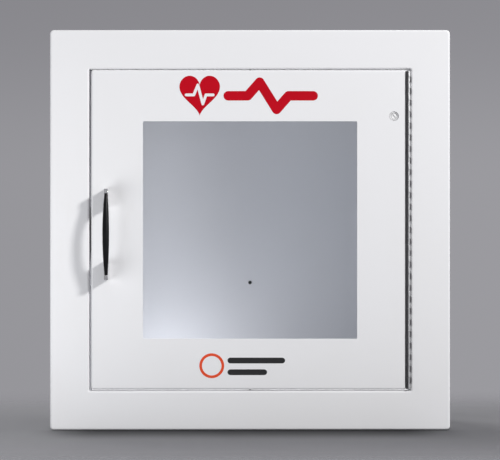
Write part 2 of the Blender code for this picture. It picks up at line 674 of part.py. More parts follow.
def build_door():
    middle = ((DOOR_LEFT + DOOR_RIGHT) / 2, (DOOR_BOTTOM + DOOR_TOP) / 2)
    half = ((DOOR_RIGHT - DOOR_LEFT) / 2, (DOOR_TOP - DOOR_BOTTOM) / 2)
    section = fold(FOLD_RADIUS, FOLD_RADIUS, FOLD_RADIUS, 270, 180)
    section += [(0, DOOR_FLANGE), (SHEET, DOOR_FLANGE)]
    section += fold(FOLD_RADIUS, FOLD_RADIUS, FOLD_RADIUS - SHEET, 180, 270)
    loops = [ring_at(half[0] - inset, half[1] - inset, max(DOOR_CORNER_RADIUS - inset, 0.0004), depth, middle)
             for inset, depth in section]
    window = (WINDOW_WIDTH / 2, WINDOW_HEIGHT / 2, WINDOW_RADIUS)
    loops = [ring_at(*window, 0)] + loops + [ring_at(*window, SHEET)]
    panel = add_piece("door_panel", skin(loops, True), powder_coat, door)
    solver = "MANIFOLD"         # the exact one loses a stud's side at some sheet thicknesses
    studs = rods(STUD_RADIUS, [(x, SHEET / 2, h) for x, h in STUDS], (0, 1, 0), STUD_LENGTH, STUD_SIDES)
    cut(panel, studs, "UNION", solver)
    places = [(HANDLE_X, -SHEET, HANDLE_RISE + side * HANDLE_SCREW_RISE) for side in (-1, 1)]
    drill(panel, HANDLE_SCREW_RADIUS + HOLE_CLEARANCE, places, (0, 1, 0), 3 * SHEET, solver=solver)
    drill(panel, KEY_HOLE_RADIUS, [(KEY_X, -SHEET, KEY_RISE)], (0, 1, 0), 3 * SHEET, KEY_HOLE_SIDES, solver)
    places = [(DOOR_RIGHT + SHEET, RIVET_DEPTH, h) for h in rivet_heights()]
    drill(panel, RIVET_RADIUS + HOLE_CLEARANCE, places, (-1, 0, 0), 3 * SHEET, solver=solver)


def build_window():
    window = (WINDOW_WIDTH / 2, WINDOW_HEIGHT / 2)
    inner = [half + GASKET_SETBACK for half in window]
    gasket = flat_ring(inner, PANE_HALF, WINDOW_RADIUS, PANE_RADIUS, SHEET_BACK, SHEET_BACK + GASKET)
    add_piece("window_gasket", gasket, grey_foam, door)

    outline = rounded_loop(-PANE_HALF[0], PANE_HALF[0], -PANE_HALF[1], PANE_HALF[1], PANE_RADIUS)
    add_piece("window_pane", plate(outline, PANE_FRONT, PANE_FRONT + PANE), clear_acrylic, door)

    inner = [half + RETAINER_SETBACK for half in window]
    outer = [half + RETAINER_MARGIN for half in STUD_HALF]
    frame = flat_ring(inner, outer, RETAINER_INNER_RADIUS, RETAINER_OUTER_RADIUS, RETAINER_FRONT,
                      RETAINER_FRONT + RETAINER_SHEET)
    retainer = add_piece("window_retainer", frame, zinc, door)
    corner_radius = NUT_ACROSS_FLATS / math.sqrt(3)
    bore = STUD_RADIUS + HOLE_CLEARANCE
    chamfer = NUT_HEIGHT * 0.15
    profile = [(bore, 0), (corner_radius, 0), (corner_radius, NUT_HEIGHT - chamfer),
               (corner_radius * 0.88, NUT_HEIGHT), (bore, NUT_HEIGHT)]
    drill(retainer, bore, [(x, RETAINER_FRONT - SHEET, h) for x, h in STUDS], (0, 1, 0), 3 * SHEET)
    mesh = None
    for number, (x, h) in enumerate(STUDS, 1):
        at = FACE + Vector((x, NUT_FRONT, h))
        name = "retainer_nut_%d" % number
        if mesh is None:
            mesh = add_piece(name, turned(profile, (0, 0, 0), (0, 1, 0), 6), zinc, door, at).data
        else:
            add_copy(name, mesh, door, at)


# ---- Handle -------------------------------------------------------------------------------------

def crown(rise):
    """How far the handle's outer edge stands from the face at a height from the handle's middle."""
    half = HANDLE_LENGTH / 2
    radius = (half ** 2 + HANDLE_ARCH ** 2) / (2 * HANDLE_ARCH)
    return HANDLE_PROJECTION - radius + math.sqrt(radius ** 2 - rise ** 2)


def spread(low, high, steps):
    return [low + (high - low) * i / steps for i in range(steps + 1)]


def bow_outline():
    """The bow from the side, as (distance from the face, height): two legs and a slim crown."""
    half = HANDLE_LENGTH / 2
    inner = half - HANDLE_LEG
    seat = GRIP_LENGTH / 2 + GAP
    spine_front = GRIP_DEPTH + GAP
    spine_rear = spine_front + HANDLE_SPINE
    outer = [(GAP, -half), (crown(half), -half)]
    outer += [(crown(h), h) for h in spread(-half, -seat, 3)[1:]]
    outer += [(crown(h) - spine_front, h) for h in spread(-seat, seat, 16)]
    outer += [(crown(h), h) for h in spread(seat, half, 3)[:-1]]
    outer += [(crown(half), half), (GAP, half)]
    fillet = HANDLE_FILLET
    reach = crown(inner) - spine_rear - fillet
    upper = [(GAP, inner)] + arc((reach, inner - fillet), fillet, 90, 0, 4)
    lower = arc((reach, -inner + fillet), fillet, 0, -90, 4) + [(GAP, -inner)]
    under = [(crown(h) - spine_rear, h) for h in spread(inner - fillet, -inner + fillet, 10)[1:-1]]
    return outer + upper + under + lower


def build_handle():
    middle = HANDLE_RISE
    left, right = HANDLE_X - HANDLE_THICKNESS / 2, HANDLE_X + HANDLE_THICKNESS / 2
    outline = [(-reach, middle + h) for reach, h in bow_outline()]
    bow = add_piece("handle_bow", bar_along_x(outline, left, right), chrome, door)
    soften(bow, HANDLE_EDGE)

    shank = HANDLE_SCREW_RADIUS
    head = SHEET + GAP
    profile = screw(shank, head + HANDLE_SCREW_GRIP, shank * 2, HANDLE_SCREW_HEAD)
    heights = [middle + side * HANDLE_SCREW_RISE for side in (-1, 1)]
    drill(bow, shank + HOLE_CLEARANCE, [(HANDLE_X, SHEET, h) for h in heights], (0, -1, 0),
          SHEET + HANDLE_SCREW_GRIP + 3 * GAP)
    for word, h in zip(("lower", "upper"), heights):
        add_piece("handle_screw_" + word, turned(profile, (HANDLE_X, head, h), (0, 1, 0)), zinc, door)

    half = GRIP_LENGTH / 2
    loops = []
    for h in spread(-half, half, 16):
        fullness = 1 - (h / half) ** 2
        width = GRIP_END_WIDTH + (GRIP_WIDTH - GRIP_END_WIDTH) * fullness
        depth = GRIP_END_DEPTH + (GRIP_DEPTH - GRIP_END_DEPTH) * fullness
        base = crown(h) - GRIP_DEPTH
        section = arc((0, 0), 1.0, 0, 180, 8)
        loops.append([(HANDLE_X + x * width / 2, -(base + y * depth), middle + h) for x, y in section])
    add_piece("handle_grip", skin(loops, False), black_plastic, door)


# ---- Door alarm ---------------------------------------------------------------------------------

def build_alarm():
    left, right = ALARM_X, ALARM_X + ALARM_WIDTH
    low, high = ALARM_BOTTOM, ALARM_TOP
    nose = KEY_HOLE_RADIUS
    full = (low - ALARM_EAR, high + ALARM_EAR)

    tape = block((left + ALARM_WALL, right - ALARM_WALL), (SHEET_BACK, SHEET_BACK + ALARM_TAPE), (low, high))
    tape = add_piece("alarm_tape", tape, grey_foam, door)
    base = block((left, right), (ALARM_BASE_FRONT, ALARM_BASE_FRONT + ALARM_WALL), full)
    base = add_piece("alarm_base", base, white_plastic, door)
    for piece in (tape, base):
        drill(piece, nose, [(KEY_X, 0, KEY_RISE)], (0, 1, 0), ALARM_COVER_FRONT + SHEET, ROUND_SIDES)

    rear = ALARM_COVER_FRONT + ALARM_COVER_DEPTH
    step = ALARM_COVER_FRONT + ALARM_WALL
    outline = [(ALARM_COVER_FRONT, full[0]), (step, full[0]), (step, low), (rear, low), (rear, high),
               (step, high), (step, full[1]), (ALARM_COVER_FRONT, full[1])]
    cover = add_piece("alarm_cover", bar_along_x(outline, left, right), white_plastic, door)
    inside = ((left + ALARM_WALL, right - ALARM_WALL), (low + ALARM_WALL, high - ALARM_WALL))
    cut(cover, block(inside[0], (ALARM_COVER_FRONT - SHEET, rear - ALARM_WALL), inside[1]))

    board_front = KEY_REAR_END + GAP
    board_rear = board_front + BOARD_THICKNESS
    board_top = inside[1][1] - GAP
    board = block((inside[0][0] + GAP, inside[0][1] - GAP), (board_front, board_rear),
                  (board_top - BOARD_HEIGHT, board_top))
    add_piece("alarm_board", board, board_green, door)

    buzzer_at = (inside[0][0] + BUZZER_RADIUS + 2 * GAP, board_rear + GAP, KEY_RISE)
    buzzer_rear = board_rear + GAP + BUZZER_HEIGHT
    profile = [(0, 0), (BUZZER_RADIUS, 0), (BUZZER_RADIUS, BUZZER_HEIGHT),
               (BUZZER_RADIUS * 0.2, BUZZER_HEIGHT), (BUZZER_RADIUS * 0.2, BUZZER_HEIGHT * 0.6),
               (0, BUZZER_HEIGHT * 0.6)]
    add_piece("alarm_buzzer", turned(profile, buzzer_at, (0, 1, 0), ROUND_SIDES), black_plastic, door)
    for row in (-1, 0, 1):
        slot_h = KEY_RISE + row * BUZZER_RADIUS * 0.5
        slot_x = (buzzer_at[0] - BUZZER_RADIUS * 0.7, buzzer_at[0] + BUZZER_RADIUS * 0.7)
        slot = (slot_h - BUZZER_SLOT / 2, slot_h + BUZZER_SLOT / 2)
        cut(cover, block(slot_x, (buzzer_rear + GAP, rear + SHEET), slot))

    reed_at = ((left + right - REED_LENGTH) / 2, board_rear + GAP + REED_RADIUS,
               board_top - REED_RADIUS - GAP)
    add_piece("reed_switch", rod(REED_RADIUS, reed_at, (1, 0, 0), REED_LENGTH), reed_glass, door)

    build_battery((left + right) / 2, ALARM_COVER_FRONT + ALARM_WALL, inside[1][0] + GAP)

    profile = screw(ALARM_SCREW_RADIUS, step + 2 * GAP - ALARM_BASE_FRONT, ALARM_SCREW_RADIUS * 2,
                    ALARM_SCREW_HEAD)
    middle = (left + right) / 2
    heights = ((full[0] + low) / 2, (full[1] + high) / 2)
    places = [(middle, ALARM_BASE_FRONT - SHEET, h) for h in heights]
    for piece in (base, cover):
        drill(piece, ALARM_SCREW_RADIUS + HOLE_CLEARANCE, places, (0, 1, 0), 6 * SHEET)
    for word, h in zip(("lower", "upper"), heights):
        shape = turned(profile, (middle, step + GAP, h), (0, 1, 0))
        add_piece("alarm_cover_screw_" + word, shape, zinc, door)


def build_battery(middle, front, bottom):
    """The nine volt block stands upright, with its snap connector on top."""
    width, thickness, height = BATTERY
    depth = (front, front + thickness)
    top = bottom + height
    battery = add_piece("alarm_battery", block((middle - width / 2, middle + width / 2), depth, (bottom, top)),
                        battery_jacket, door)
    centre = (depth[0] + depth[1]) / 2
    lift = top + GAP
    strip = block((middle - width / 2, middle + width / 2), (centre - thickness / 3, centre + thickness / 3),
                  (lift, lift + CONNECTOR_HEIGHT))
    strip = add_piece("battery_connector", strip, black_plastic, door)
    places = [(middle + side * BATTERY_STUD_SPACING / 2, centre, top - GAP) for side in (-1, 1)]
    cut(battery, rods(BATTERY_STUD_RADIUS, places, (0, 0, 1), BATTERY_STUD_HEIGHT + GAP), "UNION")
    drill(strip, BATTERY_STUD_RADIUS + HOLE_CLEARANCE, places, (0, 0, 1), BATTERY_STUD_HEIGHT + 4 * GAP)


def build_key_switch():
    """The switch's nose stands in the door's hole, a little behind the face, round the turning core."""
    bore_end = KEY_CORE_RECESS + KEY_CORE_LENGTH + GAP
    shoulder = ALARM_COVER_FRONT
    profile = [(KEY_BORE_RADIUS, KEY_RECESS), (KEY_NOSE_RADIUS - KEY_CHAMFER, KEY_RECESS),
               (KEY_NOSE_RADIUS, KEY_RECESS + KEY_CHAMFER), (KEY_NOSE_RADIUS, shoulder),
               (KEY_SHOULDER_RADIUS, shoulder), (KEY_SHOULDER_RADIUS, shoulder + KEY_SHOULDER),
               (KEY_REAR_RADIUS, shoulder + KEY_SHOULDER), (KEY_REAR_RADIUS, KEY_REAR_END),
               (0, KEY_REAR_END)]
    profile = [(0, bore_end), (KEY_BORE_RADIUS, bore_end)] + profile
    add_piece("key_switch_body", turned(profile, (KEY_X, 0, KEY_RISE), (0, 1, 0), ROUND_SIDES), white_plastic, door)

    profile = [(0, KEY_CORE_RECESS), (KEY_CORE_RADIUS - KEY_CHAMFER, KEY_CORE_RECESS),
               (KEY_CORE_RADIUS, KEY_CORE_RECESS + KEY_CHAMFER),
               (KEY_CORE_RADIUS, KEY_CORE_RECESS + KEY_CORE_LENGTH), (0, KEY_CORE_RECESS + KEY_CORE_LENGTH)]
    core = add_piece("key_switch_core", turned(profile, (KEY_X, 0, KEY_RISE), (0, 1, 0), ROUND_SIDES),
                     white_plastic, key)
    length, width, depth = KEY_SLOT
    slot = block((-length / 2, length / 2), (0, KEY_CORE_RECESS + depth), (-width / 2, width / 2))
    slot.transform(Matrix.Translation((KEY_X, 0, KEY_RISE)) @ Matrix.Rotation(KEY_SLOT_ANGLE, 4, "Y"))
    cut(core, slot)


def build_alarm_magnet():
    """The reed contact's partner, screwed behind the upper stop and hanging just above the alarm."""
    width, thickness, height = ALARM_MAGNET
    middle = ALARM_X + ALARM_WIDTH / 2
    front = STOP_DEPTH + SHEET + GAP
    bottom = OPEN_H - STOP_LIP - ALARM_MAGNET_HANG
    magnet = block((middle - width / 2, middle + width / 2), (front, front + thickness),
                   (bottom, bottom + height))
    magnet = add_piece("alarm_magnet", magnet, white_plastic, cabinet)
    h = OPEN_H - STOP_LIP / 2
    radius = ALARM_MAGNET_SCREW_RADIUS
    for piece in (magnet, bpy.data.objects["door_stop_top"]):
        drill(piece, radius + HOLE_CLEARANCE, [(middle, STOP_DEPTH - SHEET, h)], (0, 1, 0),
              thickness + 4 * SHEET)
    profile = screw(radius, thickness + SHEET + 2 * GAP, radius * 2, ALARM_MAGNET_SCREW_HEAD)
    shape = turned(profile, (middle, front + thickness + GAP, h), (0, 1, 0))
    add_piece("alarm_magnet_screw", shape, zinc, cabinet)


# ---- Decals and print ---------------------------------------------------------------------------

def heart_outline(steps=36):
    """A heart from its well known parametric curve, scaled to its width and height."""
    points = []
    for i in range(steps):
        t = math.tau * i / steps
        x = 16 * math.sin(t) ** 3
        h = 13 * math.cos(t) - 5 * math.cos(2 * t) - 2 * math.cos(3 * t) - math.cos(4 * t)
        points.append((x, h))
    lows = [min(p[k] for p in points) for k in (0, 1)]
    highs = [max(p[k] for p in points) for k in (0, 1)]
    sizes = (HEART_WIDTH, HEART_HEIGHT)
    middle = (HEART_X, SIGN_RISE)
    return [tuple(middle[k] + sizes[k] * ((p[k] - lows[k]) / (highs[k] - lows[k]) - 0.5)
                  for k in (0, 1)) for p in points]


def stroke_outline(path, width):
    """The outline of a mitred stroke along a path of (x, height) points."""
    points = [Vector(p) for p in path]
    sides = ([], [])
    for i, point in enumerate(points):
        before = (point - points[max(i - 1, 0)]).normalized()
        after = (points[min(i + 1, len(points) - 1)] - point).normalized()
        if before.length == 0:
            before = after
        if after.length == 0:
            after = before
        mean = (before + after).normalized()
        across = Vector((-mean.y, mean.x))
        reach = width / 2 / max(across.dot(Vector((-after.y, after.x))), 0.3)
        sides[0].append(tuple(point + across * reach))
        sides[1].append(tuple(point - across * reach))
    return sides[0] + sides[1][::-1]


def pulse_path():
    """A heartbeat trace: flat, a tall beat up, a deep one down, and flat again."""
    trace = ((-0.50, 0.0), (-0.27, 0.0), (-0.13, 1.0), (0.07, -1.0), (0.21, 0.0), (0.50, 0.0))
    rise = PULSE_RISE - PULSE_STROKE * 0.9
    return [(PULSE_X + along * PULSE_LENGTH, SIGN_RISE + beat * rise) for along, beat in trace]


def build_decals():
    front, rear = -GAP - DECAL, -GAP
    add_piece("heart_decal", plate(heart_outline(), front, rear), red_vinyl, door)
    add_piece("pulse_decal", plate(stroke_outline(pulse_path(), PULSE_STROKE), front, rear), red_vinyl, door)
    profile = [(RING_RADIUS - RING_STROKE, 0), (RING_RADIUS, 0), (RING_RADIUS, DECAL),
               (RING_RADIUS - RING_STROKE, DECAL)]
    at = (RING_X, front, LABEL_MIDDLE)
    add_piece("label_ring", turned(profile, at, (0, 1, 0), ROUND_SIDES + 4), orange_print, door)
    for name, (length, rise) in (("label_bar_upper", BAR_UPPER), ("label_bar_lower", BAR_LOWER)):
        middle = LABEL_MIDDLE + rise
        outline = rounded_loop(BAR_LEFT, BAR_LEFT + length, middle - BAR_HEIGHT / 2, middle + BAR_HEIGHT / 2,
                               BAR_HEIGHT * 0.3)
        add_piece(name, plate(outline, front, rear), black_print, door)


build_body()
build_stop("door_stop_top", 1)
build_stop("door_stop_bottom", -1)
build_bumper("bumper_top", 1)
build_bumper("bumper_bottom", -1)
build_hinge()
build_catch()
build_alarm_magnet()
build_door()
build_window()
build_handle()
build_strike()
build_alarm()
build_key_switch()
build_decals()
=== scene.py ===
import json
import math

import bmesh
import bpy
from mathutils import Matrix, Vector

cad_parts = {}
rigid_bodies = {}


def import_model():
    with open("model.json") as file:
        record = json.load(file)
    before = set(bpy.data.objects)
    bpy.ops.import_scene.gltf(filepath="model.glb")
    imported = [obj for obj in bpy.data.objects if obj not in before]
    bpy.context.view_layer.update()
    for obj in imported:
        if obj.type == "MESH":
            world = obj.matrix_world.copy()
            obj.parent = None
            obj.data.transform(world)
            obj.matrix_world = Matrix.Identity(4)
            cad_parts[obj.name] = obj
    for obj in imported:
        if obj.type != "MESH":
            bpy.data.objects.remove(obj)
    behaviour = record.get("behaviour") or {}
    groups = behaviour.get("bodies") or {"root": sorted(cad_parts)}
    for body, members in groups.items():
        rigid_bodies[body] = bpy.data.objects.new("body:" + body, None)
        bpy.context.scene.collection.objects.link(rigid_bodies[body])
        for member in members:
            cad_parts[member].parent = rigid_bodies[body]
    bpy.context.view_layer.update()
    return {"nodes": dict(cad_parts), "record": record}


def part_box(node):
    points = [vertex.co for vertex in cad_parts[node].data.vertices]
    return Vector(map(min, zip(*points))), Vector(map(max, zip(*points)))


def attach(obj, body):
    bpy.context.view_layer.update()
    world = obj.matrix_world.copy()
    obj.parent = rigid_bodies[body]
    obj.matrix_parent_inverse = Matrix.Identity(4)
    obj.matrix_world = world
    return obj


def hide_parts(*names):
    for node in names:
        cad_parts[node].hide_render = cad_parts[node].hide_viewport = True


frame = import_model()
nodes = frame["nodes"]
print("frame loaded:", len(nodes), "nodes")

faceLow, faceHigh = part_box("cabinet_shell")
frontY = faceLow.y                      # the border's front face
middle = (faceLow + faceHigh) / 2


# a wire is one output socket, and sums on wires add their Math nodes
class Wire:
    def __init__(self, tree, socket):
        self.tree = tree
        self.socket = socket

    def node(self, kind, settings=None, inputs=None, output=0):
        made = self.tree.nodes.new("ShaderNode" + kind)
        for name, value in (settings or {}).items():
            setattr(made, name, value)
        for name, value in (inputs or {}).items():
            if isinstance(value, Wire):
                self.tree.links.new(value.socket, made.inputs[name])
            else:
                made.inputs[name].default_value = value
        return Wire(self.tree, made.outputs[output])

    def maths(self, operation, *values):
        return self.node("Math", {"operation": operation}, dict(enumerate(values)))

    def __add__(self, other):
        return self.maths("ADD", self, other)

    def __sub__(self, other):
        return self.maths("SUBTRACT", self, other)

    def __rsub__(self, other):
        return self.maths("SUBTRACT", other, self)

    def __mul__(self, other):
        return self.maths("MULTIPLY", self, other)

    __radd__ = __add__
    __rmul__ = __mul__

    def smooth(self, low, high):        # 0 below low, 1 above high, eased between
        return self.node("MapRange", {"interpolation_type": "SMOOTHSTEP"},
                         {"Value": self, "From Min": low, "From Max": high})

    def noise(self, scale, detail=3.0):
        return self.node("TexNoise", None, {"Vector": self, "Scale": scale, "Detail": detail})

    def cells(self, scale, output="Distance"):
        return self.node("TexVoronoi", None, {"Vector": self, "Scale": scale}, output)

    def stretched(self, x, y, z):       # the same place, scaled unevenly
        return self.node("VectorMath", {"operation": "MULTIPLY"}, {0: self, 1: (x, y, z)})

    def away(self, point):              # distance from a point
        return self.node("VectorMath", {"operation": "DISTANCE"}, {0: self, 1: tuple(point)}, "Value")

    def axis(self, name):
        return self.node("SeparateXYZ", None, {0: self}, name)

    def bump(self, strength, distance, height):
        return self.node("Bump", None, {"Strength": strength, "Distance": distance, "Height": height})


def blendColours(place, mask, first, second):
    return place.node("Mix", {"data_type": "RGBA"}, {0: mask, 6: asColour(first), 7: asColour(second)}, 2)


def asColour(value):
    return value if isinstance(value, Wire) else (*value, 1.0)


# a finish is a Principled shader with fixed values, and a function that wires what varies
def makeFinish(name, fixed, vary):
    made = bpy.data.materials.new(name)
    made.use_nodes = True
    tree = made.node_tree
    shader = tree.nodes["Principled BSDF"]
    for socket, value in fixed.items():
        shader.inputs[socket].default_value = value
    place = Wire(tree, tree.nodes.new("ShaderNodeTexCoord").outputs["Object"])
    for socket, wire in vary(place).items():
        tree.links.new(wire.socket, shader.inputs[socket])
    return made


coat = dict(colour=(0.855, 0.855, 0.87), dusty=(0.81, 0.805, 0.80), peel=0.00003, peelScale=(900.0, 2600.0),
            rough=0.36, handled=(-0.159, frontY, middle.z), handledReach=(0.03, 0.11))


def varyCoat(place):
    peel = place.noise(coat["peelScale"][0], 2.0) * 0.7 + place.noise(coat["peelScale"][1], 1.0) * 0.3
    cloud = place.noise(9.0).smooth(0.35, 0.75)
    speck = place.noise(1400.0, 0.0).smooth(0.74, 0.80)
    hands = 1 - place.away(coat["handled"]).smooth(*coat["handledReach"])
    smear = place.stretched(1.0, 1.0, 0.35).noise(60.0, 4.0).smooth(0.45, 0.8)
    worn = hands * smear * 0.5 + cloud * 0.25 + speck * 0.25
    return {"Base Color": blendColours(place, worn, coat["colour"], coat["dusty"]),
            "Roughness": cloud * 0.05 + hands * smear * 0.10 + coat["rough"],
            "Normal": place.bump(0.28, coat["peel"], peel)}


powderCoat = makeFinish("powderCoat", {"Specular IOR Level": 0.5}, varyCoat)

zincLook = dict(bright=(0.66, 0.665, 0.68), dull=(0.46, 0.465, 0.48), warm=(0.70, 0.67, 0.60),
                spangle=420.0, rough=0.24, grain=0.00003)


def varyZinc(place):
    grey = place.node("RGBToBW", None, {0: place.cells(zincLook["spangle"], "Color")})
    mottle = place.noise(160.0, 4.0).smooth(0.3, 0.75)
    scuff = place.stretched(1.0, 1.0, 0.08).noise(700.0).smooth(0.5, 0.72)
    tone = blendColours(place, mottle * 0.6 + grey * 0.25, zincLook["bright"], zincLook["dull"])
    tone = blendColours(place, place.noise(45.0).smooth(0.55, 0.8) * 0.35, tone, zincLook["warm"])
    return {"Base Color": tone, "Roughness": mottle * 0.14 + scuff * 0.12 + zincLook["rough"],
            "Normal": place.bump(0.25, zincLook["grain"], scuff + grey * 0.3)}


zincPlate = makeFinish("zincPlate", {"Metallic": 1.0}, varyZinc)

# the dark colour and its left and right reaches are painted shade on the hinge barrel
hingeLook = dict(bright=(0.74, 0.74, 0.75), dull=(0.56, 0.56, 0.57), paintedShade=(0.10, 0.10, 0.105),
                 paintedShadeLeft=(0.0004, -0.0006), paintedShadeRight=(0.0008, 0.0015), rough=0.34, grain=0.00003)
pinLow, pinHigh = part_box("hinge_pin")
hingeX = (pinLow.x + pinHigh.x) / 2


# painted shade darkens the left of the barrel, and the right of the door's own knuckles, as if they lay in
# shadow
def varyHinge(onDoor):
    def vary(place):
        mottle = place.noise(210.0, 4.0).smooth(0.3, 0.75)
        draw = place.stretched(1.0, 1.0, 0.05).noise(1500.0).smooth(0.4, 0.75)
        streak = place.stretched(1.0, 1.0, 0.6).noise(110.0, 4.0).smooth(0.55, 0.85)
        side = place.axis("X") - hingeX
        # painted shade: the barrel's left side is darkened as if in shadow
        paintedShade = side.smooth(*hingeLook["paintedShadeLeft"])
        if onDoor:
            paintedShade = paintedShade + side.smooth(*hingeLook["paintedShadeRight"]) * 0.8
        tone = blendColours(place, mottle * 0.7, hingeLook["bright"], hingeLook["dull"])
        return {"Base Color": blendColours(place, paintedShade * 0.92 + streak * 0.06, tone, hingeLook["paintedShade"]),
                "Roughness": mottle * 0.10 + draw * 0.10 + hingeLook["rough"],
                "Normal": place.bump(0.25, hingeLook["grain"], draw)}
    return vary


hingeSteel = makeFinish("hingeSteel", {"Metallic": 1.0}, varyHinge(False))
hingeDoorSteel = makeFinish("hingeDoorSteel", {"Metallic": 1.0}, varyHinge(True))

chromeLook = dict(clean=(0.84, 0.84, 0.85), smudged=(0.72, 0.73, 0.75), rough=0.05, relief=0.00003)


def varyChrome(place):
    prints = place.noise(140.0).smooth(0.45, 0.8)
    haze = place.stretched(1.0, 1.0, 0.25).noise(900.0, 2.0).smooth(0.55, 0.8)
    return {"Roughness": prints * 0.06 + haze * 0.05 + chromeLook["rough"],
            "Base Color": blendColours(place, prints * 0.3, chromeLook["clean"], chromeLook["smudged"]),
            "Normal": place.bump(0.05, chromeLook["relief"], prints)}


chromePlate = makeFinish("chromePlate", {"Metallic": 1.0}, varyChrome)

gripLook = dict(deep=(0.004, 0.004, 0.005), worn=(0.010, 0.010, 0.011), grainScale=1500.0, grain=0.00005,
                rough=0.46)


def varyGrip(place):
    polish = place.noise(120.0).smooth(0.4, 0.75)
    return {"Base Color": blendColours(place, polish * 0.5, gripLook["deep"], gripLook["worn"]),
            "Roughness": gripLook["rough"] - polish * 0.14,
            "Normal": place.bump(0.22, gripLook["grain"], place.cells(gripLook["grainScale"]))}


gripPlastic = makeFinish("gripPlastic", {"Specular IOR Level": 0.22}, varyGrip)

rubberLook = dict(fresh=(0.020, 0.020, 0.020), bloomed=(0.055, 0.054, 0.052), grainScale=1500.0,
                  grain=0.00004, rough=0.62)


def varyRubber(place):
    bloom = place.noise(260.0, 4.0).smooth(0.4, 0.8)
    return {"Base Color": blendColours(place, bloom * 0.6, rubberLook["fresh"], rubberLook["bloomed"]),
            "Roughness": bloom * 0.15 + rubberLook["rough"],
            "Normal": place.bump(0.3, rubberLook["grain"], place.noise(rubberLook["grainScale"]))}


bufferRubber = makeFinish("bufferRubber", {}, varyRubber)

plasticLook = dict(fresh=(0.88, 0.88, 0.885), aged=(0.84, 0.84, 0.84), sparkScale=2200.0, spark=0.00003,
                   rough=0.36)


def varyWhitePlastic(place):
    flow = place.stretched(1.0, 1.0, 0.3).noise(80.0).smooth(0.35, 0.8)
    return {"Base Color": blendColours(place, flow * 0.6, plasticLook["fresh"], plasticLook["aged"]),
            "Roughness": flow * 0.1 + plasticLook["rough"],
            "Normal": place.bump(0.2, plasticLook["spark"], place.noise(plasticLook["sparkScale"], 1.0))}


whitePlastic = makeFinish("whitePlastic", {}, varyWhitePlastic)

foamLook = dict(pore=(0.05, 0.05, 0.052), skin=(0.20, 0.20, 0.21), scale=2400.0, depth=0.0001, rough=0.85)


def varyFoam(place):
    cells = place.cells(foamLook["scale"])
    return {"Base Color": blendColours(place, cells.smooth(0.1, 0.7), foamLook["pore"], foamLook["skin"]),
            "Roughness": cells * 0.1 + foamLook["rough"], "Normal": place.bump(0.6, foamLook["depth"], cells)}


foamTape = makeFinish("foamTape", {}, varyFoam)

ferriteLook = dict(dark=(0.035, 0.035, 0.040), light=(0.11, 0.11, 0.115), scale=1800.0, grit=0.00004,
                   rough=0.5)


def varyFerrite(place):
    grit = place.noise(ferriteLook["scale"], 4.0)
    return {"Base Color": blendColours(place, grit, ferriteLook["dark"], ferriteLook["light"]),
            "Roughness": grit * 0.2 + ferriteLook["rough"],
            "Normal": place.bump(0.3, ferriteLook["grit"], grit)}


ferrite = makeFinish("ferrite", {}, varyFerrite)

boardLook = dict(scale=240.0, field=(0.03, 0.20, 0.08), shade=(0.02, 0.15, 0.06), track=(0.10, 0.34, 0.14),
                 rough=0.3)


def varyBoard(place):
    tracks = place.node("TexBrick", None, {"Vector": place, "Scale": boardLook["scale"],
                                           "Color1": asColour(boardLook["field"]),
                                           "Color2": asColour(boardLook["shade"]),
                                           "Mortar": asColour(boardLook["track"])})
    return {"Base Color": tracks, "Roughness": place.noise(300.0) * 0.15 + boardLook["rough"]}


boardMask = makeFinish("boardMask", {}, varyBoard)

redLook = dict(bright=(0.53, 0.0016, 0.012), deep=(0.47, 0.0012, 0.010), rough=0.42, grain=0.00003)


def varyRed(place):
    film = place.noise(30.0).smooth(0.3, 0.8)
    return {"Base Color": blendColours(place, film, redLook["bright"], redLook["deep"]),
            "Roughness": film * 0.06 + redLook["rough"],
            "Normal": place.bump(0.10, redLook["grain"], place.noise(700.0, 2.0))}


redVinyl = makeFinish("redVinyl", {"Specular IOR Level": 0.12}, varyRed)

inkLook = dict(scale=1900.0, rough=0.38, grain=0.00002)


def varyInk(light, dark):
    def vary(place):
        grain = place.noise(inkLook["scale"], 2.0).smooth(0.35, 0.7)
        return {"Base Color": blendColours(place, grain * 0.5, light, dark),
                "Roughness": grain * 0.1 + inkLook["rough"],
                "Normal": place.bump(0.12, inkLook["grain"], grain)}
    return vary


orangeInk = makeFinish("orangeInk", {}, varyInk((0.80, 0.075, 0.015), (0.70, 0.055, 0.010)))
blackInk = makeFinish("blackInk", {}, varyInk((0.012, 0.012, 0.013), (0.030, 0.030, 0.032)))
batteryJacket = makeFinish("batteryJacket", {"Metallic": 0.4},
                           varyInk((0.06, 0.06, 0.07), (0.10, 0.09, 0.08)))

reedLook = dict(dark=(0.3, 0.5, 0.38), light=(0.55, 0.66, 0.58))


def varyReed(place):
    return {"Base Color": blendColours(place, place.noise(200.0), reedLook["dark"], reedLook["light"])}


reedGlass = makeFinish("reedGlass", {"Alpha": 0.5, "Roughness": 0.05}, varyReed)

paneLook = dict(tint=(0.955, 0.968, 0.990), gloss=(0.93, 0.96, 1.0), mirror=0.038, slant=0.96, grazing=5.0,
                haze=0.012, rough=0.03)


